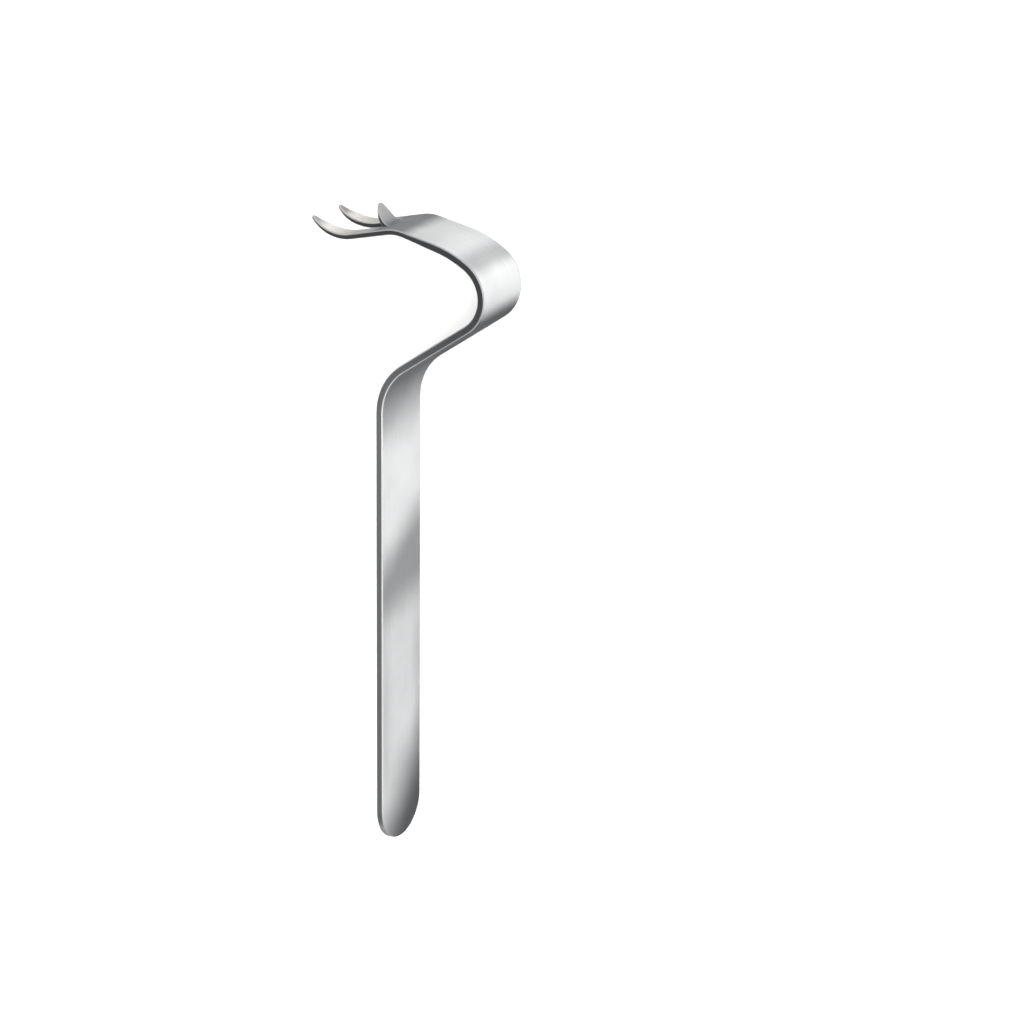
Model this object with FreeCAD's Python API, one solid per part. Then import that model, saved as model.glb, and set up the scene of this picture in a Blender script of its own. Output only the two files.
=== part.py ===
import FreeCAD, Part
import math
import os

# Handheld surgical retractor, one piece of flat stainless steel bar.
# A long flat handle leans into a neck, the neck rolls over into a hook, and the
# hook ends in a blade with two long upturned prongs and a short middle tooth.
# It is modelled lying on one long edge, as it rests on a table:
# X runs across the handle's face, Y along the handle, Z across the bar's width.

# Bar stock, in millimetres
BAR_WIDTH = 28.0
BAR_THICKNESS = 2.8
BAR_ROUND = 0.6

# Handle and neck, measured on the centre line of the bar, angles in degrees
HANDLE_LENGTH = 169.4
NECK_ANGLE = 55.3
NECK_BEND_RADIUS = 21.8
NECK_LENGTH = 31.9

# Hook, a tight lower curve that opens into a wider upper one
HOOK_RADIUS = 13.8
HOOK_ANGLE = 112.5
HOOK_TOP_RADIUS = 41.5

# Blade, which thins, rises to a crest and dips again before it divides
BLADE_SLOPE_ANGLE = 13.5
BLADE_LENGTH = 13.4
BLADE_THICKNESS = 2.1
CREST_RADIUS = 14.0
BLADE_DIP_ANGLE = 13.2
BLADE_LIP = 4.0

# Long outer prongs
PRONG_WIDTH = 8.3
PRONG_STRAIGHT = 11.3
PRONG_CURL_RADIUS = 20.8
PRONG_LIFT_ANGLE = 41.5
PRONG_TIP_THICKNESS = 1.4
PRONG_TIP_RADIUS = 0.9
PRONG_TIP_INSET = 4.7
PRONG_OUTER_TAPER = 19.0
PRONG_INNER_TAPER = 10.0

# Short middle tooth and the notch floors beside it
TOOTH_BASE = 9.0
TOOTH_BEND_RADIUS = 4.4
TOOTH_ANGLE = 85.0
TOOTH_STRAIGHT = 5.2
TOOTH_TIP_THICKNESS = 1.3
TOOTH_TIP_RADIUS = 1.0
TOOTH_ROUND = 0.4
NOTCH_ROUND = 0.7

# How far the cutting shapes run past the metal, and how much they trim off a tine's end
CLEAR = 15.0
TIP_TRIM = 0.3
# How full a tapering curve is, near the value that makes it an arc
FULLNESS = 0.6

ACROSS = FreeCAD.Vector(0, 0, 1)
MIDDLE = BAR_WIDTH / 2


def direction(angle):
    """Unit vector in the side view at an angle from +X."""
    turn = math.radians(angle)
    return FreeCAD.Vector(math.cos(turn), math.sin(turn), 0)


def left(heading):
    """Unit vector square to a heading, on its left."""
    return direction(heading + 90)


def walk(point, heading, steps):
    """Stations on the centre line: where each straight or bend starts, and the end."""
    stations = [(point, heading)]
    for size, turn in steps:
        if turn == 0:
            point = point + direction(heading) * size
        else:
            arm = math.copysign(size, turn)
            centre = point + left(heading) * arm
            heading = heading + turn
            point = centre - left(heading) * arm
        stations.append((point, heading))
    return stations


def side_edges(stations, steps, offset):
    """Edges beside the centre line, to its left where the offset is positive."""
    edges = []
    for (point, heading), (size, turn) in zip(stations, steps):
        if turn == 0:
            start = point + left(heading) * offset
            edges.append(Part.LineSegment(start, start + direction(heading) * size).toShape())
            continue
        arm = math.copysign(size, turn)
        centre = point + left(heading) * arm
        spots = [centre - left(heading + turn * share) * (arm - offset) for share in (0, 0.5, 1)]
        edges.append(Part.Arc(*spots).toShape())
    return edges


def thinning_edge(station, length, start_offset, end_offset):
    """Edge beside a straight that eases from one distance off the centre line to another."""
    along = direction(station[1])
    start = station[0] + left(station[1]) * start_offset
    end = station[0] + left(station[1]) * end_offset + along * length
    curve = Part.BezierCurve()
    curve.setPoles([start, start + along * length / 3, end - along * length / 3, end])
    return curve.toShape()


def taper_curve(start, start_heading, end, end_heading):
    """Smooth curve between two points that follows both headings."""
    leave = direction(start_heading)
    arrive = direction(end_heading)
    gap = end - start
    crossing = start + leave * (gap.cross(arrive).z / leave.cross(arrive).z)
    curve = Part.BezierCurve()
    curve.setPoles([start, start + (crossing - start) * FULLNESS,
                    end + (crossing - end) * FULLNESS, end])
    return curve.toShape()


def taper_edges(root, tip, tip_thickness):
    """Both sides of a curved tine that thins from the blade's thickness to its tip."""
    edges = []
    spare = direction(tip[1]) * CLEAR / 3
    for side in (1, -1):
        start = root[0] + left(root[1]) * side * BLADE_THICKNESS / 2
        end = tip[0] + left(tip[1]) * side * tip_thickness / 2
        edges.append(taper_curve(start, root[1], end, tip[1]))
        edges.append(Part.LineSegment(end, end + spare).toShape())
    reach = left(tip[1]) * tip_thickness / 2
    edges.append(Part.LineSegment(tip[0] + spare + reach, tip[0] + spare - reach).toShape())
    return edges


def root_edge(station, thickness):
    """Line across the metal's thickness at a station."""
    reach = left(station[1]) * thickness / 2
    return Part.LineSegment(station[0] + reach, station[0] - reach).toShape()


def solid_across(edges, low, high):
    """Side profile swept across the bar, from one width position to another."""
    face = Part.Face(Part.Wire(Part.__sortEdges__(edges)))
    face.translate(ACROSS * low)
    return face.extrude(ACROSS * (high - low))


def tapered_side(corner, along, inward, taper, inset, radius):
    """Arc from a straight side in to a round tip, the tip's centre and the contact."""
    reach = (taper ** 2 + inset ** 2 - radius ** 2) / (2 * (inset - radius))
    centre = corner + inward * reach
    tip_centre = corner + along * taper + inward * inset
    contact = tip_centre + (tip_centre - centre).normalize() * radius
    half_way = ((corner - centre) + (contact - centre)).normalize() * reach
    return Part.Arc(corner, centre + half_way, contact).toShape(), tip_centre, contact


def tine_edges(nose, along, low, high, tapers, inset, radius):
    """Outline of a tine as far as its taper goes, with the corners where each taper starts."""
    tip_centre = nose - along * radius
    corners = [tip_centre - along * tapers[0] + ACROSS * low,
               tip_centre - along * tapers[1] + ACROSS * high]
    low_arc, centre, low_end = tapered_side(
        corners[0], along, ACROSS, tapers[0], inset, radius)
    high_arc, centre, high_end = tapered_side(
        corners[1], along, ACROSS * -1, tapers[1], high - low - inset, radius)
    front = centre + ((low_end - centre) + (high_end - centre)).normalize() * radius
    return [low_arc, Part.Arc(low_end, front, high_end).toShape(), high_arc], corners


def polyline(points):
    """Straight edges from point to point."""
    return [Part.LineSegment(a, b).toShape() for a, b in zip(points, points[1:])]


def prism(edges, through, depth):
    """Solid as deep on both sides of a flat outline."""
    face = Part.Face(Part.Wire(Part.__sortEdges__(edges)))
    face.translate(through * -depth)
    return face.extrude(through * 2 * depth)


def notch_waste(notch, length):
    """The slot between the prongs, square to the blade's lip, with rounded inner corners."""
    point, heading = notch
    along = direction(heading)
    low = point + ACROSS * PRONG_WIDTH
    high = point + ACROSS * (BAR_WIDTH - PRONG_WIDTH)
    arcs = []
    for corner, inward in ((low, ACROSS), (high, ACROSS * -1)):
        middle = corner + (along + inward) * NOTCH_ROUND * (1 - math.sqrt(0.5))
        arcs.append(Part.Arc(corner + along * NOTCH_ROUND, middle,
                             corner + inward * NOTCH_ROUND).toShape())
    floor = polyline([low + ACROSS * NOTCH_ROUND, high - ACROSS * NOTCH_ROUND])
    sides = polyline([low + along * NOTCH_ROUND, low + along * length,
                      high + along * length, high + along * NOTCH_ROUND])
    return prism(arcs + floor + sides, left(heading), PRONG_CURL_RADIUS)


def prong_waste(tip):
    """What is cut away around both prong tips, square to the metal at the tips."""
    along = direction(tip[1])
    nose = tip[0] - along * TIP_TRIM
    tapers = (PRONG_OUTER_TAPER, PRONG_INNER_TAPER)
    half, (outer, inner) = tine_edges(nose, along, 0, PRONG_WIDTH, tapers,
                                      PRONG_TIP_INSET, PRONG_TIP_RADIUS)
    beyond = nose + along * CLEAR
    half += polyline([inner, FreeCAD.Vector(inner.x, inner.y, MIDDLE)])
    half += polyline([outer, outer - ACROSS * CLEAR, beyond - ACROSS * CLEAR, beyond + ACROSS * MIDDLE])
    other = [edge.mirror(FreeCAD.Vector(0, 0, MIDDLE), ACROSS) for edge in half]
    return prism(half + other, left(tip[1]), PRONG_CURL_RADIUS + CLEAR)


def handle_waste():
    """What is cut away to leave the handle's end fully round."""
    along = FreeCAD.Vector(0, 1, 0)
    start = along * MIDDLE
    end = start + ACROSS * BAR_WIDTH
    rounding = Part.Arc(start, ACROSS * MIDDLE, end).toShape()
    corners = [start, start - ACROSS * CLEAR, (along + ACROSS) * -CLEAR,
               ACROSS * (BAR_WIDTH + CLEAR) - along * CLEAR, end + ACROSS * CLEAR, end]
    return prism([rounding] + polyline(corners), FreeCAD.Vector(1, 0, 0), CLEAR)


def tooth(lip, root):
    """Middle tooth, which runs on from the blade's lip, bends up and ends in a round point."""
    tip = walk(root[0], root[1], [(TOOTH_BEND_RADIUS, -TOOTH_ANGLE), (TOOTH_STRAIGHT, 0)])[-1]
    profile = taper_edges(root, tip, TOOTH_TIP_THICKNESS) + [root_edge(lip, BLADE_THICKNESS)]
    for offset in (BLADE_THICKNESS / 2, -BLADE_THICKNESS / 2):
        profile += side_edges([lip], [(BLADE_LIP, 0)], offset)
    blank = solid_across(profile, MIDDLE - TOOTH_BASE, MIDDLE + TOOTH_BASE)
    along = direction(tip[1])
    nose = tip[0] - along * TIP_TRIM
    tops = [point - left(heading) * BLADE_THICKNESS / 2 for point, heading in (lip, root)]
    taper = nose.dot(along) - max(top.dot(along) for top in tops) - TOOTH_TIP_RADIUS
    outline, (low, high) = tine_edges(nose, along, MIDDLE - TOOTH_BASE / 2, MIDDLE + TOOTH_BASE / 2,
                                      (taper, taper), TOOTH_BASE / 2, TOOTH_TIP_RADIUS)
    outline += polyline([low, low - along * CLEAR, high - along * CLEAR, high])
    return blank.common(prism(outline, left(tip[1]), CLEAR))


def is_sharp(shape, edge):
    """True where the two faces beside an edge meet at a clear angle."""
    faces = shape.ancestorsOfType(edge, Part.Face)
    if len(faces) != 2:
        return False
    point = edge.valueAt((edge.FirstParameter + edge.LastParameter) / 2)
    normals = []
    for face in faces:
        u, v = face.Surface.parameter(point)
        normals.append(face.normalAt(u, v))
    return normals[0].getAngle(normals[1]) > math.radians(20)


def rounded(solid, radius):
    """The solid with every sharp edge rounded over."""
    return solid.makeFillet(radius, [edge for edge in solid.Edges if is_sharp(solid, edge)])


def retractor():
    """The whole instrument, from the round handle end to the tine tips."""
    hook_top_turn = 90 + NECK_ANGLE - BLADE_SLOPE_ANGLE - HOOK_ANGLE
    thick = [(HANDLE_LENGTH, 0), (NECK_BEND_RADIUS, -NECK_ANGLE), (NECK_LENGTH, 0),
             (HOOK_RADIUS, HOOK_ANGLE), (HOOK_TOP_RADIUS, hook_top_turn)]
    thin = [(CREST_RADIUS, BLADE_SLOPE_ANGLE + BLADE_DIP_ANGLE), (BLADE_LIP, 0), (PRONG_STRAIGHT, 0)]
    bar = walk(FreeCAD.Vector(0, 0, 0), 90, thick + [(BLADE_LENGTH, 0)] + thin)
    blade = bar[len(thick)]
    lip, notch, curl = bar[-3:]
    prong_tip = walk(curl[0], curl[1], [(PRONG_CURL_RADIUS, -BLADE_DIP_ANGLE - PRONG_LIFT_ANGLE)])[-1]

    profile = taper_edges(curl, prong_tip, PRONG_TIP_THICKNESS) + [root_edge(bar[0], BAR_THICKNESS)]
    for side in (0.5, -0.5):
        profile += side_edges(bar, thick, side * BAR_THICKNESS)
        profile.append(thinning_edge(blade, BLADE_LENGTH, side * BAR_THICKNESS, side * BLADE_THICKNESS))
        profile += side_edges(bar[len(thick) + 1:], thin, side * BLADE_THICKNESS)
    body = solid_across(profile, 0, BAR_WIDTH)

    body = body.cut(notch_waste(notch, PRONG_STRAIGHT + PRONG_CURL_RADIUS + CLEAR))
    body = body.cut(prong_waste(prong_tip))
    body = rounded(body.cut(handle_waste()), BAR_ROUND)
    return body.fuse(rounded(tooth(lip, notch), TOOTH_ROUND)).removeSplitter()


def centred(solid):
    """The solid moved so that the middle of its footprint is over the origin."""
    box = solid.optimalBoundingBox(False)
    solid.translate(FreeCAD.Vector(-box.Center.x, -box.Center.y, -box.ZMin))
    return solid


shape = centred(retractor())
os.makedirs("parts", exist_ok=True)
shape.exportStep("parts/retractor.step")
print("retractor is valid:", shape.isValid(), "solids:", len(shape.Solids), "faces:", len(shape.Faces))
print("volume in cubic millimetres:", round(shape.Volume, 1), "box:", shape.optimalBoundingBox(False))
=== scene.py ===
# %% [markdown]
# # A hand retractor in satin stainless steel
# The real object is a lever bent from one piece of flat steel bar. It has a long flat
# handle, a hooked neck and a blade that ends in two long prongs and a middle tooth.
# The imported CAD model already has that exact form, with its edges rounded all round.
# So the steel body is kept as it is, and this lesson gives it its finish, its light,
# the floor that it lies on and the camera that looks at it.

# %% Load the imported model
import math

import bpy
from mathutils import Matrix, Vector

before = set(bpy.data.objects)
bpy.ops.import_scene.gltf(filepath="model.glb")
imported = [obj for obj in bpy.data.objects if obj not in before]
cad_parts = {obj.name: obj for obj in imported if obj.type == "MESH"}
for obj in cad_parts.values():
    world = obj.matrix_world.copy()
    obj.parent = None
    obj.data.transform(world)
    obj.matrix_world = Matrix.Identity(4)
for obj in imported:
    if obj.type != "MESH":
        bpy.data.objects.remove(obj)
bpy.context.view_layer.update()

MM = 0.001
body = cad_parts["retractor"]
print("nodes:", sorted(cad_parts), "vertices:", len(body.data.vertices))

# %% [markdown]
# The picture is taken from above the hook's open side, with the handle upright in it.
# A camera could be turned by hand until it looks right, but an angle that is worked
# out can be checked. So the camera stands off from a point on the bar by a direction
# and a distance, and its up direction is the handle's own length. It aims a little to
# the right of the bar, because the bar isn't in the middle of the picture.

# %% Camera
VIEW_TURN = 33.18
VIEW_HEIGHT = 55.27
VIEW_DISTANCE = 1469.8 * MM
LENS_MM = 140.6
LOOK_AT = Vector((-6.3, 6.1, 14.0)) * MM
AIM_ASIDE = 41.8 * MM
SIGHT_LIMIT = 50.0
ALONG_HANDLE = Vector((0, 1, 0))


def direction(turn, height):
    """The direction with that turn from +X and that height above the floor, in degrees."""
    turn, height = math.radians(turn), math.radians(height)
    flat = math.cos(height)
    return Vector((flat * math.cos(turn), flat * math.sin(turn), math.sin(height)))


def camera_axes(towards_camera, up_hint):
    """Right, up and backward directions of a camera, as the columns of a matrix."""
    right = up_hint.cross(towards_camera).normalized()
    up = towards_camera.cross(right)
    return Matrix((right, up, towards_camera)).transposed()


straight = camera_axes(direction(VIEW_TURN, VIEW_HEIGHT), ALONG_HANDLE)
spot = LOOK_AT + straight.col[2] * VIEW_DISTANCE
aim = LOOK_AT + straight.col[0] * AIM_ASIDE
turned = camera_axes((spot - aim).normalized(), straight.col[1])

camera = bpy.data.objects.new("camera", bpy.data.cameras.new("camera"))
camera.data.lens = LENS_MM
camera.data.clip_end = SIGHT_LIMIT
camera.matrix_world = Matrix.Translation(spot) @ turned.to_4x4()
bpy.context.scene.collection.objects.link(camera)
bpy.context.scene.camera = camera
print("camera stands at", [round(c, 3) for c in spot], "m")

# %% [markdown]
# Colours are written as the sRGB hex values that a paint program shows. The renderer
# counts light evenly, so one function turns each hex value into its linear colour.
# A second small function adds a node, sets it and links it, so that each material
# below reads as a list of what it is made of. Where an input is given a node, it is
# linked to that node's first output.


# %% Helpers for colours and nodes
def linear(hex_colour):
    """Linear RGBA of an sRGB hex colour."""
    shares = [int(hex_colour[i:i + 2], 16) / 255 for i in (1, 3, 5)]
    return [s / 12.92 if s <= 0.04045 else ((s + 0.055) / 1.055) ** 2.4 for s in shares] + [1.0]


def add(tree, kind, inputs=None, **settings):
    """A new shader node with its settings, its input values and its links."""
    node = tree.nodes.new("ShaderNode" + kind)
    for name, value in settings.items():
        setattr(node, name, value)
    for name, value in (inputs or {}).items():
        if isinstance(value, bpy.types.Node):
            value = value.outputs[0]
        if isinstance(value, bpy.types.NodeSocket):
            tree.links.new(value, node.inputs[name])
        else:
            node.inputs[name].default_value = value
    return node


def empty_tree(owner):
    """The emptied node tree of a material or world."""
    owner.use_nodes = True
    owner.node_tree.nodes.clear()
    return owner.node_tree


print("mid grey is linear", [round(c, 3) for c in linear("#808080")])

# %% [markdown]
# The floor is white background paper. It could be a plane that glows, but then no soft
# shadow would settle under the bar. Matt paper takes the light as the real one does:
# it has next to no shine, and a fine fibre keeps it from looking like plastic. The
# broad faces of the steel mirror it, and that is what makes them pale. The floor lies
# a hair below the part, so that the two surfaces never fight for the same place.

# %% Floor of matt paper
FLOOR_SIZE = 12.0
FLOOR_GAP = 0.05 * MM
PAPER_WHITE = "#F5F5F4"
PAPER_ROUGHNESS = 0.9
PAPER_SHINE = 0.2
PAPER_FIBRE = 0.4 * MM
FIBRE_DEPTH = 0.02 * MM
FIBRE_STRENGTH = 0.1

paper = bpy.data.materials.new("matt_paper")
tree = empty_tree(paper)
place = add(tree, "TexCoord").outputs["Object"]
fibre = add(tree, "TexNoise", {"Vector": place, "Scale": 1 / PAPER_FIBRE, "Detail": 2.0})
rise = add(tree, "Bump", {"Height": fibre, "Strength": FIBRE_STRENGTH, "Distance": FIBRE_DEPTH})
shader = add(tree, "BsdfPrincipled", {
    "Base Color": linear(PAPER_WHITE), "Roughness": PAPER_ROUGHNESS,
    "Specular IOR Level": PAPER_SHINE, "Normal": rise})
add(tree, "OutputMaterial", {"Surface": shader})

half = FLOOR_SIZE / 2
floor_mesh = bpy.data.meshes.new("floor")
floor_mesh.from_pydata(
    [(-half, -half, 0), (half, -half, 0), (half, half, 0), (-half, half, 0)], [], [(0, 1, 2, 3)])
floor_mesh.materials.append(paper)
floor = bpy.data.objects.new("floor", floor_mesh)
floor.location.z = -FLOOR_GAP
bpy.context.scene.collection.objects.link(floor)
print("floor is", FLOOR_SIZE, "m wide")

# %% [markdown]
# Steel shows what stands around it. The studio is a soft white tent, so the light is
# even and the shadows are faint. A bare tent would leave the bar's narrow side as pale
# as its faces. So a photographer hangs one black card in it. Here the card is a dark
# spot in the world, up behind the bar, where the narrow side mirrors it, and that side
# reads as a dark ribbon. A card made as an object would show its hard outline.

# %% White tent with a black card
# Brightness of the tent and of the card in it, and the card's place and reach in degrees
TENT = 1.67
CARD = 0.035
CARD_TURN = 213
CARD_HEIGHT = 55
CARD_FULL_WITHIN = 30
CARD_GONE_BEYOND = 48

world = bpy.data.worlds.new("studio")
bpy.context.scene.world = world
tree = empty_tree(world)
place = add(tree, "TexCoord").outputs["Generated"]
near_card = add(tree, "VectorMath", {
    0: place, 1: direction(CARD_TURN, CARD_HEIGHT)}, operation="DOT_PRODUCT").outputs["Value"]
glow = add(tree, "MapRange", {
    "Value": near_card, "From Min": math.cos(math.radians(CARD_GONE_BEYOND)),
    "From Max": math.cos(math.radians(CARD_FULL_WITHIN)), "To Min": TENT, "To Max": CARD},
    interpolation_type="SMOOTHSTEP")
sky = add(tree, "Background", {"Color": linear("#FFFFFF"), "Strength": glow})
add(tree, "OutputWorld", {"Surface": sky})
print("the card covers", 2 * CARD_FULL_WITHIN, "degrees of the tent")

# %% [markdown]
# Two large soft lamps add a little shape to the even light. The key lamp hangs near the
# camera, so its shadow falls out of sight behind the bar, and the rounded upper edge of
# the handle picks it up as a fine pale line. The other one is a weak fill from behind.
# A lamp with a small face would throw hard shadows, and this picture has none.

# %% Soft lamps
LAMP_DISTANCE = 1.9
# Each lamp: turn and height of its direction in degrees, its size in metres, its watts
LAMPS = {
    "key": (20, 66, 1.3, 29.0),
    "back": (140, 48, 1.0, 10.0),
}
for name, (turn, height, size, watts) in LAMPS.items():
    lamp = bpy.data.objects.new(name, bpy.data.lights.new(name, "AREA"))
    lamp.data.size = size
    lamp.data.energy = watts
    lamp.visible_camera = False
    towards = direction(turn, height)
    facing_bar = towards.to_track_quat("Z", "Y").to_matrix().to_4x4()
    lamp.matrix_world = Matrix.Translation(towards * LAMP_DISTANCE) @ facing_bar
    bpy.context.scene.collection.objects.link(lamp)
print("lamps:", sorted(LAMPS))

# %% [markdown]
# The body is martensitic stainless steel, ground along the bar on a belt and then
# finished to a soft satin, which gives no glare under a theatre lamp. A part that is
# held by hand never meets the wheel evenly, so its duller places hang together like
# clouds. A texture picture could show that, but it would blur close up. A slow noise
# is sharp at any distance, and it also pushes the place that the next step reads, so
# that nothing there has a ruled border.

# %% Clouds in the polish
CLOUD_SIZE = 22 * MM
CLOUD_PUSH = 4 * MM

steel = bpy.data.materials.new("satin_stainless_steel")
tree = empty_tree(steel)
place = add(tree, "TexCoord").outputs["Object"]
cloud = add(tree, "TexNoise", {"Vector": place, "Scale": 1 / CLOUD_SIZE, "Detail": 2.0})
centred = add(tree, "VectorMath", {0: cloud.outputs["Color"], 1: (0.5, 0.5, 0.5)}, operation="SUBTRACT")
pushed_place = add(tree, "VectorMath", {
    0: centred, 1: (CLOUD_PUSH, CLOUD_PUSH, CLOUD_PUSH), 2: place}, operation="MULTIPLY_ADD")
print("clouds of", CLOUD_SIZE / MM, "mm, pushed by up to", CLOUD_PUSH / MM / 2, "mm")

# %% [markdown]
# In the tight bends, at the crest, at the handle's end and in a few softer bands, the
# steel is painted darker, as painted shade, and it is made rougher there too. Painting
# that by hand would need a texture picture. A few soft windows in the part's own
# coordinates do it in a small sum: each one opens and closes along one direction, and a
# patch shows where all its windows are open.

# %% Patches of painted shade, which are also rougher
ACROSS_BAR = Vector((0, 0, 1))
TOWARDS_TIPS = Vector((-1, 0, 0))
# From the outside of the hook to the prongs, along the sloping top of the hook
ROUND_THE_HOOK = Vector((-0.85, 0.53, 0))
# Along the handle and a share of the way across it, which slants a patch's border
NEARLY_SQUARE = ALONG_HANDLE + 0.2 * ACROSS_BAR
A_LITTLE_SLANTED = ALONG_HANDLE + 0.3 * ACROSS_BAR
SLANTED = ALONG_HANDLE + 0.6 * ACROSS_BAR
STEEP = ALONG_HANDLE + 1.15 * ACROSS_BAR
ON_THE_BLADE = (ALONG_HANDLE, 98, 104, None, None)
ON_THE_GRIP = (ALONG_HANDLE, -110, -80, -50, -20)

# Each patch: its name, its share of painted shade and lost polish, and its windows. A
# window is a direction with the places along it, in mm, where the patch starts to show,
# is full, starts to fade and is gone. None leaves that side of a window open.
SHADE_PATCHES = (
    ("band across the handle", 0.60, [
        (NEARLY_SQUARE, -38, -15, None, None), (SLANTED, None, None, -5, 17)]),
    ("end of the handle", 0.93, [(STEEP, None, None, -108, -62)]),
    ("grip", 0.13, [(ALONG_HANDLE, -110, -90, -45, -15)]),
    ("near edge of the grip", 0.17, [(ACROSS_BAR, 19, 28, None, None), ON_THE_GRIP]),
    ("far edge of the grip", 0.22, [(ACROSS_BAR, None, None, 0, 8), ON_THE_GRIP]),
    ("neck and its bends", 0.82, [
        (A_LITTLE_SLANTED, 31, 69, None, None), (ALONG_HANDLE, None, None, 86, 93.5)]),
    ("flat of the neck", 0.50, [(ALONG_HANDLE, 60, 72, 84, 92)]),
    ("shoulder of the hook", 0.36, [(ROUND_THE_HOOK, 25, 31, 33, 40), ON_THE_BLADE]),
    ("crest of the blade", 0.71, [(TOWARDS_TIPS, -8, -1, 6.5, 12.5), ON_THE_BLADE]),
    ("tooth", 0.50, [(TOWARDS_TIPS, 6, 9, 16, 18), (ALONG_HANDLE, 111, 115, None, None)]),
    ("tips of the prongs", 0.66, [(TOWARDS_TIPS, 29.5, 34.5, None, None)]),
)


def share_shown(windows):
    """How far all the windows are open at each place: 1 inside them, 0 outside."""
    shown = 1.0
    for axis, shows, full, fades, gone in windows:
        reach = add(tree, "VectorMath", {0: pushed_place, 1: axis}, operation="DOT_PRODUCT")
        reach = reach.outputs["Value"]
        for start, end, before, after in ((shows, full, 0.0, 1.0), (fades, gone, 1.0, 0.0)):
            if start is not None:
                opening = add(tree, "MapRange", {
                    "Value": reach, "From Min": start * MM, "From Max": end * MM,
                    "To Min": before, "To Max": after}, interpolation_type="SMOOTHSTEP")
                shown = add(tree, "Math", {0: shown, 1: opening}, operation="MULTIPLY")
    return shown


# The patches paint shade into the faces' colour and also make them rougher.
face_polish_and_painted_shade = 1.0
for name, shade_and_dullness, windows in SHADE_PATCHES:
    left_unshaded = add(tree, "Math", {0: share_shown(windows), 1: -shade_and_dullness, 2: 1.0}, operation="MULTIPLY_ADD")
    face_polish_and_painted_shade = add(tree, "Math", {0: face_polish_and_painted_shade, 1: left_unshaded}, operation="MULTIPLY")
print("duller patches:", [patch[0] for patch in SHADE_PATCHES])

# %% [markdown]
# The narrow sides were sheared and then only ground, so they are darker than the
# faces, and they are painted darker still as painted shade, down to the dark grey round
# the hook, where they read as a dark ribbon. The rounded edges between them get a
# painted highlight: along the handle they stay bright even in the shaded patches, and
# draw a fine pale line. Round the hook and at the handle's end they are painted a soft
# grey. Three materials could be set face by face, but the direction that the surface
# looks in tells the three apart: on a narrow side it is all Z, and on a face it has none.

# %% Ground sides with painted shade, edges with a painted highlight
# Polish of the sides, with painted shade, and of the edges, with a painted highlight,
# inside their windows, on the handle, and outside them
SIDE_ON_HANDLE = 0.26
SIDE_ON_HOOK = 0.0
EDGE_ON_HANDLE = 0.78
EDGE_ON_HOOK = 0.42
SIDE_WINDOW = (ALONG_HANDLE, None, None, 40, 100)
EDGE_WINDOW = (ALONG_HANDLE, -119, -100, 45, 85)
# How far the surface looks across the bar: 0 on a face, 1 on a narrow side
FACE_ENDS = 0.15
EDGE_BEGINS = 0.40
EDGE_ENDS = 0.85
SIDE_BEGINS = 0.97

side_finish_and_painted_shade = add(tree, "MapRange", {
    "Value": share_shown([SIDE_WINDOW]), "To Min": SIDE_ON_HOOK, "To Max": SIDE_ON_HANDLE})
edge_painted_highlight = add(tree, "MapRange", {
    "Value": share_shown([EDGE_WINDOW]), "To Min": EDGE_ON_HOOK, "To Max": EDGE_ON_HANDLE})

normal = add(tree, "NewGeometry").outputs["Normal"]
across = add(tree, "SeparateXYZ", {"Vector": normal}).outputs["Z"]
across = add(tree, "Math", {0: across}, operation="ABSOLUTE")
off_face = add(tree, "MapRange", {
    "Value": across, "From Min": FACE_ENDS, "From Max": EDGE_BEGINS}, interpolation_type="SMOOTHSTEP")
on_side = add(tree, "MapRange", {
    "Value": across, "From Min": EDGE_ENDS, "From Max": SIDE_BEGINS}, interpolation_type="SMOOTHSTEP")
# A Mix node has its share at input 0, two numbers at 2 and 3, and two colours at 6 and
# 7. A mixed colour leaves it at output 2.
# Faces keep their painted shade, edges take their painted highlight, sides their painted shade.
polish_and_painted_shade = add(tree, "Mix", {0: off_face, 2: face_polish_and_painted_shade, 3: edge_painted_highlight})
polish_and_painted_shade = add(tree, "Mix", {0: on_side, 2: polish_and_painted_shade, 3: side_finish_and_painted_shade})
print("narrow sides keep", SIDE_ON_HANDLE, "of the polish on the handle, rounded edges", EDGE_ON_HANDLE)

# %% [markdown]
# Belt lines run along the bar round every bend. The bar is bent in one plane, so a
# noise that changes fast only across its width draws them with no unwrapping. Real
# grit lines are about 0.05 mm apart, too fine for the picture, so these are drawn ten
# times as coarse and very shallow. A fine even grain stands for the satin blasting.

# %% Belt lines and satin grain
BELT_LINE = 0.5 * MM
BELT_LENGTH = 25 * MM
BELT_DEPTH = 0.02 * MM
BELT_STRENGTH = 0.25
GRAIN = 0.25 * MM
GRAIN_DEPTH = 0.01 * MM
GRAIN_STRENGTH = 0.2
# The polish that is left in the dullest cloud and in the deepest belt line, and the
# values of the noise between which it rises to the whole
CLOUD_KEEPS = 0.88
CLOUD_LOW = 0.25
CLOUD_HIGH = 0.75
LINE_KEEPS = 0.95
LINE_LOW = 0.3
LINE_HIGH = 0.7

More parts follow.
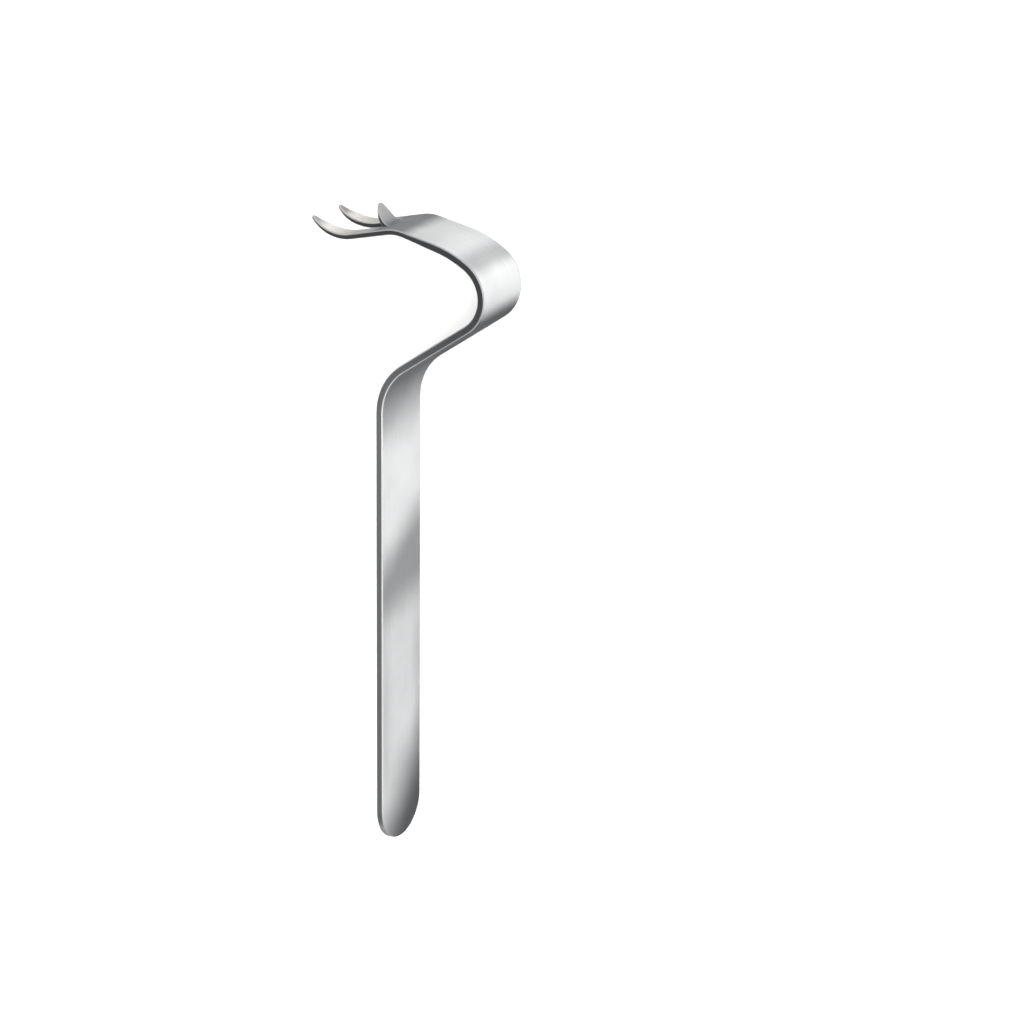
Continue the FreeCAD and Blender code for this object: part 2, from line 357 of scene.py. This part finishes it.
stretched = add(tree, "VectorMath", {
    0: place, 1: (1 / BELT_LENGTH, 1 / BELT_LENGTH, 1 / BELT_LINE)}, operation="MULTIPLY")
lines = add(tree, "TexNoise", {"Vector": stretched, "Scale": 1.0, "Detail": 3.0, "Roughness": 0.6})
grain = add(tree, "TexNoise", {"Vector": place, "Scale": 1 / GRAIN, "Detail": 2.0})
line_depth = add(tree, "Bump", {"Height": lines, "Strength": BELT_STRENGTH, "Distance": BELT_DEPTH})
surface = add(tree, "Bump", {
    "Height": grain, "Strength": GRAIN_STRENGTH, "Distance": GRAIN_DEPTH, "Normal": line_depth})
uneven = add(tree, "MapRange", {
    "Value": cloud, "From Min": CLOUD_LOW, "From Max": CLOUD_HIGH, "To Min": CLOUD_KEEPS, "To Max": 1.0},
    interpolation_type="SMOOTHSTEP")
streaks = add(tree, "MapRange", {
    "Value": lines, "From Min": LINE_LOW, "From Max": LINE_HIGH, "To Min": LINE_KEEPS, "To Max": 1.0},
    interpolation_type="SMOOTHSTEP")
wear = add(tree, "Math", {0: uneven, 1: streaks}, operation="MULTIPLY")
polish_and_painted_shade = add(tree, "Math", {0: polish_and_painted_shade, 1: wear}, operation="MULTIPLY")
print("belt lines", BELT_LINE / MM, "mm apart, grain", GRAIN / MM, "mm")

# %% [markdown]
# Last come colour and gloss. Chromium steel reflects a little over half the light, in
# a neutral grey, so most of its colour is what it mirrors. A satin finish starts from
# a roughness of about 0.3. Where the polish is lower the steel is rougher and darker: a
# little in the clouds and belt lines, as real wear, and much more in the patches and on
# the sides, as painted shade. The thin prongs were hardened by heat, which leaves a
# breath of straw colour. Real steel also mirrors less at a low angle than a simple metal
# does, which a grey tint for the glancing light brings in: without it the neck, which
# is seen almost edge on, would shine white.

# %% Satin stainless steel
POLISHED = "#CCCDCE"
STRAW = "#DFDCD7"
# The dark grey below is ground steel and also the painted shade of the patches and sides.
DULL_AND_SHADED = "#434446"
GLANCING = "#A2A2A2"
POLISHED_ROUGHNESS = 0.29
DULL_ROUGHNESS = 0.60
HEATED_WINDOW = (TOWARDS_TIPS, 10, 22, None, None)

heated = share_shown([HEATED_WINDOW])
bright = add(tree, "Mix", {0: heated, 6: linear(POLISHED), 7: linear(STRAW)}, data_type="RGBA").outputs[2]
# Low polish mixes the colour towards that dark grey: mostly painted shade, a little wear.
colour = add(tree, "Mix", {0: polish_and_painted_shade, 6: linear(DULL_AND_SHADED), 7: bright}, data_type="RGBA").outputs[2]
gloss = add(tree, "MapRange", {
    "Value": polish_and_painted_shade, "To Min": DULL_ROUGHNESS, "To Max": POLISHED_ROUGHNESS},
    interpolation_type="SMOOTHSTEP")
shader = add(tree, "BsdfPrincipled", {
    "Base Color": colour, "Metallic": 1.0, "Roughness": gloss,
    "Specular Tint": linear(GLANCING), "Normal": surface})
add(tree, "OutputMaterial", {"Surface": shader})
body.data.materials[0] = steel
print("steel nodes:", len(tree.nodes))

# %% [markdown]
# The picture is shown without a film curve, so that white paper is white.

# %% Exposure
bpy.context.scene.view_settings.view_transform = "Standard"
print("view transform:", bpy.context.scene.view_settings.view_transform)
